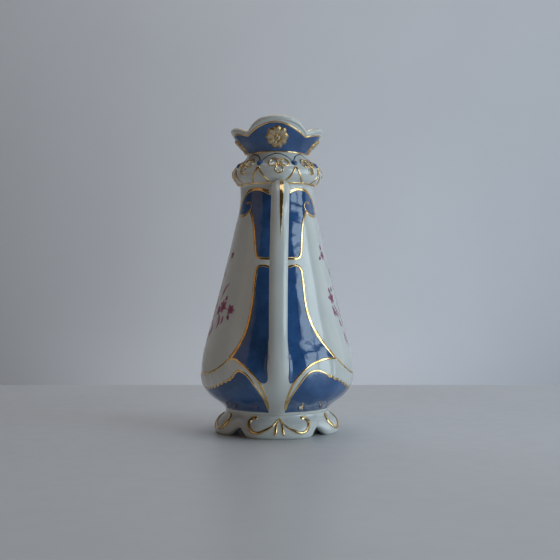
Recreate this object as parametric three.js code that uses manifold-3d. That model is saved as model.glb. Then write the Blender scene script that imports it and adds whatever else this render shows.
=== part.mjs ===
// A porcelain flower vase with two strap handles: scalloped foot, drop-shaped belly, pierced collar and a
// four-lobed flaring mouth. It is built as the potter builds it, from separately cast or pressed pieces
// that are luted together: four castings stacked on one axis, two handles, and small sprigged reliefs.
//
// Millimetres, +Z up. The origin is the centre of the base, on the surface the vase stands on. The handles
// stand at -Y and +Y. An azimuth is measured from -Y towards +X.

import * as THREE from "three";
import { mergeVertices } from "three/addons/utils/BufferGeometryUtils.js";
import Module from "manifold-3d";

// ---- driving dimensions -------------------------------------------------------------------------------

const LUTE_GAP = 0.3; // left between neighbouring pieces, where the slip would be
const BELLY_WALL = 3.5;
const COLLAR_WALL = 3;

const FOOT_TOP = 17.7;
const BELLY_FLOOR = 16; // underside of the belly at the axis
const BELLY_TOP = 196.7;
const COLLAR_BOTTOM = BELLY_TOP + LUTE_GAP;
const COLLAR_TOP = 221.5;
const MOUTH_BOTTOM = COLLAR_TOP + LUTE_GAP;
const LIP_TOP = 244.6; // top of the lip at the two side lobes

const FOOT_NOTCH_NARROWING = 0.13; // share of the radius lost between two foot lobes
const FOOT_ARCH = 6.3; // rise of the hem between two foot lobes
const LIP_PEAK_RISE = 6; // the lobes over the handles stand this much above the side lobes
const LIP_NOTCH_DROP = 4.6; // and the lip dips this much between the lobes
const LIP_NOTCH_NARROWING = 3.8;
const LIP_DEPTH = 4; // the lip's wave is at its full height this far down from the top

const COLLAR_LOBES = 8;
const COLLAR_SPREAD = THREE.MathUtils.degToRad(3.5); // lobes near the handles are this much further round
const COLLAR_BULGE = 0.5; // each lobe swells this much past the valleys

const HANDLE_WIDTH = 14;
const HANDLE_THICKNESS = 10;
const HANDLE_OFFSET = -1.4; // each hand-fitted handle stands this much to one side
const HANDLE_LEAN = 2.8; // and curves back across by this much towards its top
const HANDLE_LEAN_FROM = 80;
const HANDLE_LEAN_TO = 200;

const FULL_TURN_STEPS = 56; // facets of the lobed castings
const BELLY_STEPS = 40;
const COLLAR_STEPS = 48;

const MEDALLION_PETALS = 9;
const MEDALLION_HEIGHT = 0.62; // share of the way up the mouth's profile
const SIDE_MEDALLION_HEIGHT = 0.55; // the side lobes stand lower, and so do their medallions
const BEAD_DIAMETER = 5.2;

const TAU = 2 * Math.PI;
const RIGHT_ANGLE = Math.PI / 2;
const DEG = Math.PI / 180;

// Profiles are lists of [radius, height]; splines run through them.
const FOOT_OUTSIDE = [
  [48.6, 0],
  [50.2, 3],
  [48.9, 8.2],
  [45.4, 12.6],
  [42.2, 15.4],
  [41.3, FOOT_TOP],
];
const FOOT_INSIDE = [
  [36.5, FOOT_TOP],
  [38.4, 13.6],
  [42.6, 8],
  [45, 0],
];
const BELLY_OUTSIDE = [
  [41.2, 18],
  [50.8, 26.6],
  [58.8, 36.2],
  [61.2, 49],
  [59.2, 65.4],
  [53.5, 86],
  [47.5, 108],
  [41.8, 132],
  [35.7, 156.5],
  [31.2, 177],
  [29.8, 188],
  [29.7, BELLY_TOP],
];
const COLLAR_OUTSIDE = [
  [29.9, COLLAR_BOTTOM],
  [33, 199.8],
  [35.7, 203.4],
  [36.3, 207.6],
  [34.5, 211.8],
  [30.5, 215.5],
  [26.8, 218.6],
  [24.3, COLLAR_TOP],
];
const MOUTH_OUTSIDE = [
  [24.1, MOUTH_BOTTOM],
  [24.7, 224.6],
  [27.4, 228.4],
  [31.6, 232.8],
  [36.2, 239],
];
const MOUTH_INSIDE = [
  [32.8, 241.4],
  [28, 235],
  [24, 230],
  [21.6, 226],
  [21.1, MOUTH_BOTTOM],
];
const LIP_ROLL = { radius: 35.3, height: 242.3, half: 2.3 };

// The handle's centreline as [distance from the axis, height].
const HANDLE_LINE = [
  [25, 190.5],
  [34, 194],
  [43.5, 191.5],
  [50.5, 182],
  [54.5, 166],
  [58, 146],
  [61.5, 122],
  [64, 98],
  [65, 80],
  [64, 67],
  [60.5, 54],
  [55, 42],
  [48, 32.5],
  [41, 26],
];

// ---- helpers ------------------------------------------------------------------------------------------

const wasm = await Module();
wasm.setup();

const clamp01 = (value) => THREE.MathUtils.clamp(value, 0, 1);
const smooth = (value, low, high) => THREE.MathUtils.smoothstep(value, low, high);
const spline = (points) => new THREE.SplineCurve(points.map(([r, z]) => new THREE.Vector2(r, z)));

// A spline through the points as a list of [radius, height].
function curved(points, steps) {
  return spline(points)
    .getPoints(steps)
    .map((p) => [p.x, p.y]);
}

// The inner face of a wall: each point of the outside moved in by the wall, kept between two heights.
function insideOf(points, steps, wall, low, high) {
  const outside = spline(points);
  const inner = [];
  for (let i = steps; i >= 0; i -= 1) {
    const at = outside.getPoint(i / steps);
    const along = outside.getTangent(i / steps);
    inner.push([at.x - along.y * wall, THREE.MathUtils.clamp(at.y + along.x * wall, low, high)]);
  }
  return inner;
}

// Turns a profile of [radius, height] about Z. lobe(radius, height, azimuth) may move each point.
function turned(profile, segments, lobe) {
  const geometry = new THREE.LatheGeometry(
    profile.map(([r, z]) => new THREE.Vector2(r, z)),
    segments,
  );
  geometry.rotateX(RIGHT_ANGLE);
  if (!lobe) return geometry;
  const position = geometry.attributes.position;
  for (let i = 0; i < position.count; i += 1) {
    const azimuth = Math.atan2(position.getX(i), -position.getY(i));
    const [r, z] = lobe(Math.hypot(position.getX(i), position.getY(i)), position.getZ(i), azimuth);
    position.setXYZ(i, r * Math.sin(azimuth), -r * Math.cos(azimuth), z);
  }
  return geometry;
}

// A closed three.js geometry as a manifold-3d solid.
function solidOf(geometry) {
  const bare = geometry.index ? geometry.toNonIndexed() : geometry.clone();
  bare.deleteAttribute("normal");
  bare.deleteAttribute("uv");
  const merged = mergeVertices(bare, 1e-4);
  return new wasm.Manifold(
    new wasm.Mesh({
      numProp: 3,
      vertProperties: merged.attributes.position.array,
      triVerts: new Uint32Array(merged.index.array),
    }),
  );
}

// A manifold-3d solid as a three.js geometry.
function geometryOf(solid) {
  const mesh = solid.getMesh();
  const geometry = new THREE.BufferGeometry();
  geometry.setAttribute("position", new THREE.BufferAttribute(mesh.vertProperties, 3));
  geometry.setIndex(new THREE.BufferAttribute(mesh.triVerts, 1));
  geometry.computeVertexNormals();
  return geometry;
}

// What is left of a relief once its seat is cut away: the largest piece, without slivers behind the wall.
function seatedOn(solid, cutter) {
  const pieces = solid.subtract(cutter).decompose();
  return geometryOf(pieces.sort((a, b) => b.volume() - a.volume())[0]);
}

// ---- lobes --------------------------------------------------------------------------------------------

// 1 at the middle of each of the four lobes (over the handles and at the sides), 0 in the notches between.
const fourLobes = (azimuth) => Math.abs(Math.cos(2 * azimuth));

function footLobe(r, z, azimuth) {
  const low = 1 - clamp01(z / FOOT_TOP);
  const full = smooth(fourLobes(azimuth), 0, 0.8);
  const arch = 1 - smooth(fourLobes(azimuth), 0, 0.45);
  const narrowing = FOOT_NOTCH_NARROWING * (1 - full) * smooth(low, 0, 0.7);
  return [r * (1 - narrowing), z + FOOT_ARCH * arch * low];
}

function collarLobe(r, z, azimuth) {
  const round = azimuth - COLLAR_SPREAD * Math.sin(2 * azimuth);
  const middle = Math.sin(Math.PI * clamp01((z - COLLAR_BOTTOM) / (COLLAR_TOP - COLLAR_BOTTOM)));
  return [r + COLLAR_BULGE * middle * (Math.cos(COLLAR_LOBES * round) - 1), z];
}

function mouthLobe(r, z, azimuth) {
  const softness = 0.06;
  const lobe = Math.hypot(fourLobes(azimuth), softness) - softness;
  const swell = lobe * (1.55 - 0.55 * lobe);
  const high = clamp01((z - MOUTH_BOTTOM) / (LIP_TOP - LIP_DEPTH - MOUTH_BOTTOM)) ** 1.5;
  const overHandle = Math.cos(2 * azimuth) > 0 ? LIP_PEAK_RISE : 0;
  const rise = overHandle * swell - LIP_NOTCH_DROP * (1 - swell);
  return [r - LIP_NOTCH_NARROWING * (1 - swell) * high, z + rise * high];
}

// ---- castings -----------------------------------------------------------------------------------------

function footGeometry(grown = 0) {
  const grow = ([r, z]) => [r + grown, z];
  const outside = curved(FOOT_OUTSIDE, 7).map(grow);
  const inside = curved(FOOT_INSIDE, 4);
  return turned([...outside, ...inside, outside[0]], FULL_TURN_STEPS, footLobe);
}

// The belly is a closed pot: solid floor, open top. grown > 0 gives the cutter that seats pieces on it.
function bellyGeometry(grown = 0) {
  const outside = curved(BELLY_OUTSIDE, 16).map(([r, z]) => [r + grown, z]);
  const floor = [
    [0, BELLY_FLOOR],
    [35, BELLY_FLOOR],
    [36, 18],
  ];
  if (grown) return turned([...floor, ...outside, [0, BELLY_TOP]], BELLY_STEPS);
  const floorInside = BELLY_FLOOR + BELLY_WALL + 0.5;
  const inside = insideOf(BELLY_OUTSIDE, 11, BELLY_WALL, floorInside, BELLY_TOP);
  return turned([...floor, ...outside, ...inside, [0, floorInside]], BELLY_STEPS);
}

function collarOutside(grown = 0) {
  return curved(COLLAR_OUTSIDE, 10).map(([r, z]) => [r + grown, z]);
}

// One pierced opening: an oval bar along the given direction, to be cut from the collar.
function piercing(azimuth, height, width, tall, tilt) {
  const bar = new THREE.CylinderGeometry(0.5, 0.5, 14, 10);
  bar.scale(width, 1, tall);
  bar.translate(0, -33, 0);
  const about = new THREE.Matrix4().makeRotationZ(azimuth);
  const tip = new THREE.Matrix4()
    .makeTranslation(0, -34, height)
    .multiply(new THREE.Matrix4().makeRotationX(-tilt))
    .multiply(new THREE.Matrix4().makeTranslation(0, 34, 0));
  bar.applyMatrix4(about.multiply(tip));
  return solidOf(bar);
}

// The middle azimuth of each lobe (or, at half steps, of each valley) of the collar.
function collarAzimuth(step) {
  const even = (step * TAU) / COLLAR_LOBES;
  return even + COLLAR_SPREAD * Math.sin(2 * even);
}

function collarGeometry() {
  const inside = insideOf(COLLAR_OUTSIDE, 6, COLLAR_WALL, COLLAR_BOTTOM, COLLAR_TOP);
  const outside = collarOutside();
  let collar = solidOf(turned([...outside, ...inside, outside[0]], COLLAR_STEPS, collarLobe));
  for (let lobe = 0; lobe < COLLAR_LOBES; lobe += 1) {
    const middle = collarAzimuth(lobe);
    collar = collar
      .subtract(piercing(middle - 9.5 * DEG, 214, 4.4, 5.6, 38 * DEG))
      .subtract(piercing(middle + 9.5 * DEG, 214, 4.4, 5.6, 38 * DEG))
      .subtract(piercing(middle, 208.4, 3.4, 5, 8 * DEG));
  }
  return geometryOf(collar);
}

function mouthGeometry(grown = 0) {
  const outside = curved(MOUTH_OUTSIDE, 6).map(([r, z]) => [r + grown, z - grown / 2]);
  const roll = [];
  for (let turn = -45; turn <= 180; turn += 45) {
    const angle = turn * DEG;
    const half = LIP_ROLL.half + grown;
    roll.push([LIP_ROLL.radius + half * Math.cos(angle), LIP_ROLL.height + half * Math.sin(angle)]);
  }
  const inside = curved(MOUTH_INSIDE, 4);
  return turned([...outside, ...roll, ...inside, outside[0]], FULL_TURN_STEPS, mouthLobe);
}

// ---- handles ------------------------------------------------------------------------------------------

// A strap of rounded section swept along the centreline and trimmed to sit on the belly, under the collar.
function handleGeometry(side, collarCutter) {
  const section = new THREE.Shape();
  section.absellipse(0, 0, HANDLE_WIDTH / 2, HANDLE_THICKNESS / 2, 0, TAU);
  const outline = new THREE.Shape(section.getPoints(4));
  const places = HANDLE_LINE.map(([out, z]) => {
    const share = clamp01((z - HANDLE_LEAN_FROM) / (HANDLE_LEAN_TO - HANDLE_LEAN_FROM));
    const sideways = HANDLE_OFFSET + HANDLE_LEAN * share ** 2;
    return new THREE.Vector3(sideways, -out, z);
  });
  const line = new THREE.CatmullRomCurve3(places);
  const strap = new THREE.ExtrudeGeometry(outline, { extrudePath: line, steps: 32 });
  const free = solidOf(strap).subtract(collarCutter);
  const geometry = seatedOn(free, solidOf(bellyGeometry(LUTE_GAP)));
  if (side > 0) geometry.rotateZ(Math.PI);
  return geometry;
}

// ---- sprigged reliefs ---------------------------------------------------------------------------------

// The frame of a lobed surface at a point: local X round the vase, Y up the profile, Z out of the surface.
function frameOn(points, lobe, share, azimuth) {
  const outside = spline(points);
  const place = (t, turn) => {
    const p = outside.getPoint(clamp01(t));
    const [r, z] = lobe(p.x, p.y, turn);
    return new THREE.Vector3(r * Math.sin(turn), -r * Math.cos(turn), z);
  };
  const step = 0.01;
  const across = place(share, azimuth + step).sub(place(share, azimuth - step)).normalize();
  const up = place(share + step, azimuth).sub(place(share - step, azimuth)).normalize();
  const out = across.clone().cross(up).normalize();
  const frame = new THREE.Matrix4().makeBasis(across, out.clone().cross(across), out);
  return frame.setPosition(place(share, azimuth));
}

// A many-petalled flower with a raised eye, trimmed to the curve of the mouth it sits on.
function medallionGeometry(azimuth, cutter) {
  const height = Math.cos(2 * azimuth) > 0 ? MEDALLION_HEIGHT : SIDE_MEDALLION_HEIGHT;
  const outline = new THREE.Shape();
  const points = [];
  const steps = MEDALLION_PETALS * 3;
  for (let i = 0; i < steps; i += 1) {
    const turn = (i / steps) * TAU;
    const reach = 7.6 + 1.1 * Math.abs(Math.cos((MEDALLION_PETALS / 2) * turn));
    points.push(new THREE.Vector2(reach * Math.sin(turn), 1.06 * reach * Math.cos(turn)));
  }
  outline.setFromPoints(points);
  const bevel = { bevelSize: 0.5, bevelThickness: 0.5, bevelSegments: 1 };
  const flower = new THREE.ExtrudeGeometry(outline, { depth: 3, steps: 1, ...bevel });
  flower.translate(0, 0, -2.6);
  const eye = new THREE.SphereGeometry(1.8, 8, 5);
  eye.translate(0, 0, 0.6);
  const frame = frameOn(MOUTH_OUTSIDE, mouthLobe, height, azimuth);
  const whole = solidOf(flower).add(solidOf(eye)).transform(frame.toArray());
  return seatedOn(whole, cutter);
}

function beadGeometry(azimuth, cutter) {
  const bead = new THREE.SphereGeometry(BEAD_DIAMETER / 2, 8, 7);
  bead.applyMatrix4(frameOn(COLLAR_OUTSIDE, collarLobe, 0.66, azimuth));
  return seatedOn(solidOf(bead), cutter);
}

// A thin raised line over a lobed surface, through [share of the profile, azimuth] points.
function ridge(points, lobe, route, half, steps) {
  const places = route.map(([share, turn]) => {
    const frame = frameOn(points, lobe, share, turn);
    return new THREE.Vector3().setFromMatrixPosition(frame);
  });
  const line = new THREE.CatmullRomCurve3(places);
  const section = new THREE.Shape();
  section.absellipse(0, 0, half, half, 0, TAU);
  const outline = new THREE.Shape(section.getPoints(2));
  return solidOf(new THREE.ExtrudeGeometry(outline, { extrudePath: line, steps }));
}

// An upturned V of two raised lines between the collar's lobes, its point below a bead.
function chevronGeometry(azimuth, cutter) {
  const leg = (way) => {
    const route = [
      [0.56, azimuth],
      [0.36, azimuth + way * 6 * DEG],
      [0.12, azimuth + way * 11.5 * DEG],
    ];
    return ridge(COLLAR_OUTSIDE, collarLobe, route, 0.75, 3);
  };
  return seatedOn(leg(-1).add(leg(1)), cutter);
}

// Two C-scrolls springing from a point, with two drops between them, on one lobe of the foot.
function scrollGeometry(azimuth, cutter) {
  const shares = { point: 0.79, low: 0.27, hem: 0.16 };
  const branch = (way) => {
    const route = [
      [shares.point, azimuth],
      [0.5, azimuth + way * 7 * DEG],
      [shares.low, azimuth + way * 17 * DEG],
      [0.34, azimuth + way * 26 * DEG],
      [0.6, azimuth + way * 30 * DEG],
      [0.77, azimuth + way * 25 * DEG],
    ];
    return ridge(FOOT_OUTSIDE, footLobe, route, 0.95, 11);
  };
  const drop = (way) => {
    const route = [
      [shares.point - 0.06, azimuth + way * DEG],
      [0.45, azimuth + way * 3.4 * DEG],
      [shares.hem, azimuth + way * 4.4 * DEG],
    ];
    return ridge(FOOT_OUTSIDE, footLobe, route, 0.95, 3);
  };
  return seatedOn(branch(-1).add(branch(1)).add(drop(-1)).add(drop(1)), cutter);
}

// ---- assembly -----------------------------------------------------------------------------------------

const porcelain = new THREE.MeshStandardMaterial({ color: 0xdde1de, roughness: 0.12 });
const blueGlaze = new THREE.MeshStandardMaterial({ color: 0x3c5f9b, roughness: 0.1 });
const gilding = new THREE.MeshStandardMaterial({ color: 0xc8973c, roughness: 0.25, metalness: 1 });

const vase = new THREE.Group();

function add(name, geometry, material) {
  const mesh = new THREE.Mesh(geometry, material);
  mesh.name = name;
  vase.add(mesh);
}

const footCutter = solidOf(footGeometry(LUTE_GAP));
const collarCutter = solidOf(
  turned(
    [[0, COLLAR_BOTTOM], ...collarOutside(LUTE_GAP), [0, COLLAR_TOP]],
    COLLAR_STEPS,
    collarLobe,
  ),
);
const mouthCutter = solidOf(mouthGeometry(LUTE_GAP));

add("foot", footGeometry(), porcelain);
add("belly", bellyGeometry(), porcelain);
add("collar", collarGeometry(), porcelain);
add("mouth", mouthGeometry(), blueGlaze);
add("handle_front", handleGeometry(-1, collarCutter), porcelain);
add("handle_back", handleGeometry(1, collarCutter), porcelain);

["front", "right", "back", "left"].forEach((side, quarter) => {
  const azimuth = quarter * RIGHT_ANGLE;
  add(`flower_medallion_${side}`, medallionGeometry(azimuth, mouthCutter), gilding);
  add(`foot_scroll_${side}`, scrollGeometry(azimuth, footCutter), gilding);
});

for (let valley = 0; valley < COLLAR_LOBES; valley += 1) {
  const azimuth = collarAzimuth(valley + 0.5);
  add(`collar_bead_${valley + 1}`, beadGeometry(azimuth, collarCutter), blueGlaze);
  add(`collar_chevron_${valley + 1}`, chevronGeometry(azimuth, collarCutter), gilding);
}

export default vase;
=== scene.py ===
"""The looks of a porcelain flower vase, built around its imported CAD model.

White slip-cast porcelain with cobalt blue fields, gilt lines and reliefs, and a spray of flowers painted in
magenta enamel on each side. Lengths are in millimetres and angles in degrees, in the CAD frame, until a mesh
is made. An azimuth is measured from the front handle (-Y) towards +X. A place on the vase is a pair
(azimuth, height), and the back half repeats the front half.
"""

import math

import bmesh
import bpy
import numpy as np
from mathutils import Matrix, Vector, noise
from mathutils.geometry import delaunay_2d_cdt


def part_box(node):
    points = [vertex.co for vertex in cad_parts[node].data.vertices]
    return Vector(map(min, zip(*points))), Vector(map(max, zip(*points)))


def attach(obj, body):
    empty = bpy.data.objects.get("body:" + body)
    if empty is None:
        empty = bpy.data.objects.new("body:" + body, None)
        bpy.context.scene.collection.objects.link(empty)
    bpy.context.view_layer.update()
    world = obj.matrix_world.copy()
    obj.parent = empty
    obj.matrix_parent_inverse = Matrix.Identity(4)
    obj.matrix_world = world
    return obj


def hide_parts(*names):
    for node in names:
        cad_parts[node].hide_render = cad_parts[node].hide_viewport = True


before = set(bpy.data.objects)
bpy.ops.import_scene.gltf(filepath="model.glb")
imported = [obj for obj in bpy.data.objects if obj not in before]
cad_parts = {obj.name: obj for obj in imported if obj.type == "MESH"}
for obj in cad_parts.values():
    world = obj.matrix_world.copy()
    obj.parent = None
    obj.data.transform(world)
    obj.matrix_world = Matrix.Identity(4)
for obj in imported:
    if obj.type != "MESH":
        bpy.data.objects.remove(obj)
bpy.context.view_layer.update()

MM = 0.001


def millimetres(node, corner, axis):
    """One coordinate of a CAD node's box: corner 0 is the lowest, 1 the highest."""
    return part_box(node)[corner][axis] / MM


# ---- driving dimensions ----

FOOT_TOP = millimetres("foot", 1, 2)
COLLAR_BOTTOM = millimetres("collar", 0, 2)
COLLAR_TOP = millimetres("collar", 1, 2)
MOUTH_BOTTOM = millimetres("mouth", 0, 2)
LIP_PEAK = 250.3
LIP_PEAK_RISE = 6  # the lip's lobes over the handles stand this much above its side lobes
LIP_SIDE = LIP_PEAK - LIP_PEAK_RISE

BELLY_WALL = 3.5
COLLAR_WALL = 3.0
FIELD_LIFT = 0.07  # glaze fields stand this proud of the white
LINE_LIFT = 0.22  # crown of a gilt line
NUDGE = 0.3  # how far either side of a place its surface's slope is taken

FOOT_NOTCH_NARROWING = 0.13
FOOT_ARCH = 6.3
LIP_NOTCH_DROP = 4.6
LIP_NOTCH_NARROWING = 3.8
LIP_DEPTH = 4.0  # the lip's wave is at its full height this far down from the top
LIP_RADIUS = 35.3
LIP_HALF = 2.3
LIP_HEIGHT = LIP_SIDE - LIP_HALF

COLLAR_LOBES = 8
COLLAR_SPREAD = 3.5
COLLAR_BULGE = 0.5
COLLAR_LOBE_WIDTH = 26.7
UPPER_TURN = -2  # the collar and mouth were luted on a little out of line with the body

HANDLE_HALF_WIDTH = 7.0
HANDLE_HALF_THICKNESS = 5.0
HANDLE_OFFSET = -1.4
HANDLE_LEAN = 2.8  # each handle curves this much across, between these two heights
HANDLE_LEAN_FROM = 80
HANDLE_LEAN_TO = 200
HANDLE_SQUARENESS = 2.3
HANDLE_RIDGE = 0.35
HANDLE_NECK = 29.9
TOP_FILLET = 1.5
ROOT_FILLET = 5.5
ROOT_TOP = 92  # the fillets round the handles' lower roots reach no higher
ROOT_ASIDE = 17  # and no further round, in degrees
ROOT_REACH = 13.2  # the furthest that a root's skin is looked for
ROOT_STEP = 0.3
HANDLE_BEND = 170  # above this the handle bends over to the neck

# Profiles are lists of (radius, height).
FOOT_OUTSIDE = [
    (48.4, 0), (49.7, 1.2), (50.2, 3), (48.9, 8.2), (45.4, 12.6), (42.2, 15.4), (41.4, 17.2),
    (41.6, 19),
]
FOOT_INSIDE = [(36.5, 18.5), (38.4, 13.6), (42.6, 8), (44.6, 2), (45.2, 0)]
BELLY_OUTSIDE = [
    (41.5, 17.2), (41.9, 19.4), (44.6, 22.6), (50.6, 26.9), (55.6, 31.2), (58.9, 36.2),
    (60.8, 42.4), (61.2, 49), (59.2, 65.4), (53.6, 85.8), (47.7, 107.6), (42.2, 130), (35.8, 156.4),
    (33.3, 167.4), (30.9, 177), (29.9, 187), (29.7, 198),
]
COLLAR_OUTSIDE = [
    (29.6, 195.8), (30.4, 197.6), (33.2, 200), (35.7, 203.4), (36.3, 207.6), (34.5, 211.8),
    (30.5, 215.5), (26.8, 218.6), (24.6, 221.3), (24.2, 222.8),
]
MOUTH_OUTSIDE = [
    (24.1, 220.6), (24.4, 223.4), (25.6, 226), (28.4, 229.4), (32, 233.2), (34.6, 236.6),
    (36, 238.9), (36.8, 240.4),
]
MOUTH_INSIDE = [(33, 241.4), (28.4, 235), (24.2, 230), (21.8, 226), (21.1, 220.6)]

# The handle's centreline as (distance from the axis, height).
HANDLE_LINE = [
    (25, 190.5), (34, 194), (43.5, 191.5), (50.5, 182), (54.5, 166), (58, 146), (61.5, 122),
    (64, 98), (65, 80), (64, 67), (60.5, 54), (55, 42), (48, 32.5), (41, 26),
]

# The decoration's half outlines, from the handle outwards, are lists of (azimuth, height).
UPPER_FIELD_TOP = [
    (0, 188.5), (8, 188.6), (17, 190.4), (27, 192.6), (38, 193.2), (49, 192.2), (60, 188.8),
    (70, 184), (77, 179.4),
]
UPPER_FIELD_LOBE = [(77, 179.4), (77.5, 176), (71, 173.4), (61, 172.8), (52, 173.8), (46, 176.6)]
UPPER_FIELD_SIDE = [
    (46, 176.6), (41, 173), (37, 168.8), (33.6, 163), (30.6, 155), (28, 147), (26.6, 142.6),
    (23.4, 139.2), (18.6, 138.3), (0, 138.3),
]
HOOK = [(46, 176.6), (43.6, 179.8), (45.4, 182.6), (50, 183.6), (54.6, 182.2)]
UPPER_WEDGE = [(3, 190.6), (10, 190.9), (18, 191.9), (27, 193.5), (34, 194)]
LOWER_FIELD_TOP = [(0, 130.4), (9, 131.4), (17.5, 132.9), (22, 131.8), (24.6, 128.4)]
LOWER_FIELD_SIDE = [
    (24.6, 128.4), (24.7, 118), (24.5, 108), (25.2, 98), (26.6, 90), (28.8, 83), (32, 76.4),
    (37, 68.6), (43.4, 61.2),
]
FRILL_TOP_OUTER = [(43.4, 61.2), (37, 61.6), (31.4, 60.2), (26, 57.6), (21.2, 54.4), (16.8, 50), (14.2, 47)]
FRILL_TOP = FRILL_TOP_OUTER[:-1] + [(13.1, 45.4), (10.2, 39.6), (8.3, 33.6), (7.5, 28), (7.9, 23.5)]
LOWER_FIELD_POINT = [
    (14.2, 47), (11.8, 44.6), (8.8, 44), (7.4, 46.4), (7.4, 52), (7.4, 62), (7.5, 71), (6.8, 79),
    (4, 84.6), (0, 86),
]
PANEL_FOOT = [(43.4, 61.2), (49, 56.8), (56.4, 52.4), (66, 49.2), (78, 47.8), (90, 47.5)]
FRILL_FOOT = [
    (8.4, 22), (9.2, 29), (12.4, 36.4), (16, 42.2), (19.3, 47), (23.4, 51), (29, 52.8), (33, 51.4),
    (38, 48.6), (43.4, 46.2), (48.5, 44.2), (54.4, 41.8), (65, 38.8), (78, 37), (90, 36.4),
]
FLUTE = 4.6  # degrees of azimuth from one flute of the frill to the next
BASE_FIELD_FOOT = 19.8
FOOT_SCROLL = [
    (0.2, 15.3), (3.3, 12.3), (6.4, 9.9), (12.1, 7.2), (18.8, 4.9), (24.6, 5.7), (28.9, 8.8),
    (30.4, 12.8), (27.7, 15.1), (23, 14.6),
]
FOOT_DROP = [(0.9, 14.2), (2.4, 10.8), (3.2, 7), (4.1, 2.9)]
# On the collar, lines are lists of (distance round from a lobe's or a valley's middle, height).
CHEVRON_LEG = [(0.2, 210.6), (1.6, 207), (4.0, 202.8), (7.4, 198.2)]
BOW_HALF = [(0, 215.9), (2, 217), (4.6, 216.9), (7, 215.2)]
TIE = [(-1.3, 211.4), (0, 212.6), (1.3, 211.4)]
FESTOON_HALF = [(0, 221.7), (4, 221.1), (8.6, 219.4), (COLLAR_LOBE_WIDTH / 2 - 0.4, 215)]
# The openings of a trefoil, as (aside, height, half width, half height, tilt, narrowing towards the top).
TREFOIL = [(-4.4, 213.5, 2.6, 2.3, 18, 0), (4.4, 213.5, 2.6, 2.3, -18, 0), (0, 208.1, 2.1, 2.6, 0, 0.12)]

UNDER_LIP = 239.3
NECK_LINE = 223.0
LIP_TOP_TURN = 62.0
BEAD_HEIGHT = 213.4
BEAD_HALF = 2.6
BEAD_RISE = 1.7
COLLAR_LINE = 197.9
SPEAR_TOP = 192
SPEAR_TIP = 151
SPEAR_MIDDLE = 84  # degrees round the handle
SPRAY_HEIGHT = 100
MEDALLION_HEIGHT = 231.2
MEDALLION_HALF_WIDTH = 9.3
MEDALLION_HALF_HEIGHT = 8.4
MEDALLION_PETALS = 9
SMALL_FLOWER = 13  # painted flowers up to this size have slim petals
SIDE_MEDALLION_DROP = 1.4
# Each trefoil of openings was cut by eye, a little off centre.
TREFOIL_SHIFTS = [1.3, 0.2, -0.5, 0.7, 0.9, -0.6, 0.1, 0.4]

QUARTERS = ("front", "right", "back", "left")

CAMERA_AZIMUTH = -2
CAMERA_DISTANCE = 772
CAMERA_HEIGHT = 114
AIM_ASIDE = 2.4
AIM_HEIGHT = 122
FOCAL_LENGTH = 61.05
LIGHTS_AIM = 120
TABLE_EDGE = 367  # how far behind the vase the table ends
WALL_DISTANCE = 1000
BACKDROP_RADIUS = 3200
WINDOW_DISTANCE = 1600
# Lights that wash the wall, as (name, aside, distance from the wall, height, size, power, colour).
WALL_WASHES = [
    ("wall_wash", 0, 550, 130, (300, 400), 0.3, (1.0, 0.99, 1.0)),
    ("wall_wash_right", 355, 550, 10, (300, 400), 0.5, (0.66, 0.82, 1.0)),
    ("wall_wash_low", -40, 220, -90, (700, 80), 0.16, (0.92, 0.95, 1.0)),
]


# ---- curves and surfaces ----


def smooth(value, low, high):
    """0 below low, 1 above high and a smooth step between."""
    share = np.clip((np.asarray(value, float) - low) / (high - low), 0, 1)
    return share * share * (3 - 2 * share)


def cubic(xs, ys):
    """The natural cubic spline through the points, as a function of x."""
    xs, ys = np.asarray(xs, float), np.asarray(ys, float)
    step = np.diff(xs)
    last = len(xs) - 1
    system, right = np.eye(last + 1), np.zeros(last + 1)
    for i in range(1, last):
        system[i, i - 1 : i + 2] = step[i - 1], 2 * (step[i - 1] + step[i]), step[i]
        right[i] = 6 * ((ys[i + 1] - ys[i]) / step[i] - (ys[i] - ys[i - 1]) / step[i - 1])
    bend = np.linalg.solve(system, right)

    def at(x):
        x = np.asarray(x, float)
        i = np.clip(np.searchsorted(xs, x) - 1, 0, last - 1)
        width = step[i]
        before, after = (xs[i + 1] - x) / width, (x - xs[i]) / width
        curved = (before**3 - before) * bend[i] + (after**3 - after) * bend[i + 1]
        return before * ys[i] + after * ys[i + 1] + curved * width * width / 6

    return at


def unit(vectors):
    return vectors / np.linalg.norm(vectors, axis=-1, keepdims=True)


def distance_along(points):
    """How far along a line of points each of them lies."""
    return np.concatenate([[0], np.cumsum(np.linalg.norm(np.diff(points, axis=0), axis=1))])


def splined(points, count):
    """A smooth line through the points, as this many evenly spaced points."""
    points = np.asarray(points, float)
    along = distance_along(points)
    fine = np.linspace(0, along[-1], count)
    return np.stack([cubic(along, column)(fine) for column in points.T], axis=1)


def flowing(points, spacing=0.6):
    """A smooth line through the points, at about this spacing."""
    return splined(points, max(2, round(distance_along(points)[-1] / spacing)) + 1)


def round_axis(radius, azimuth, height):
    """Points at a distance from the vase's axis, an azimuth in degrees and a height."""
    turn = np.radians(azimuth)
    return np.stack([radius * np.sin(turn), -radius * np.cos(turn), height], axis=-1)


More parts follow.
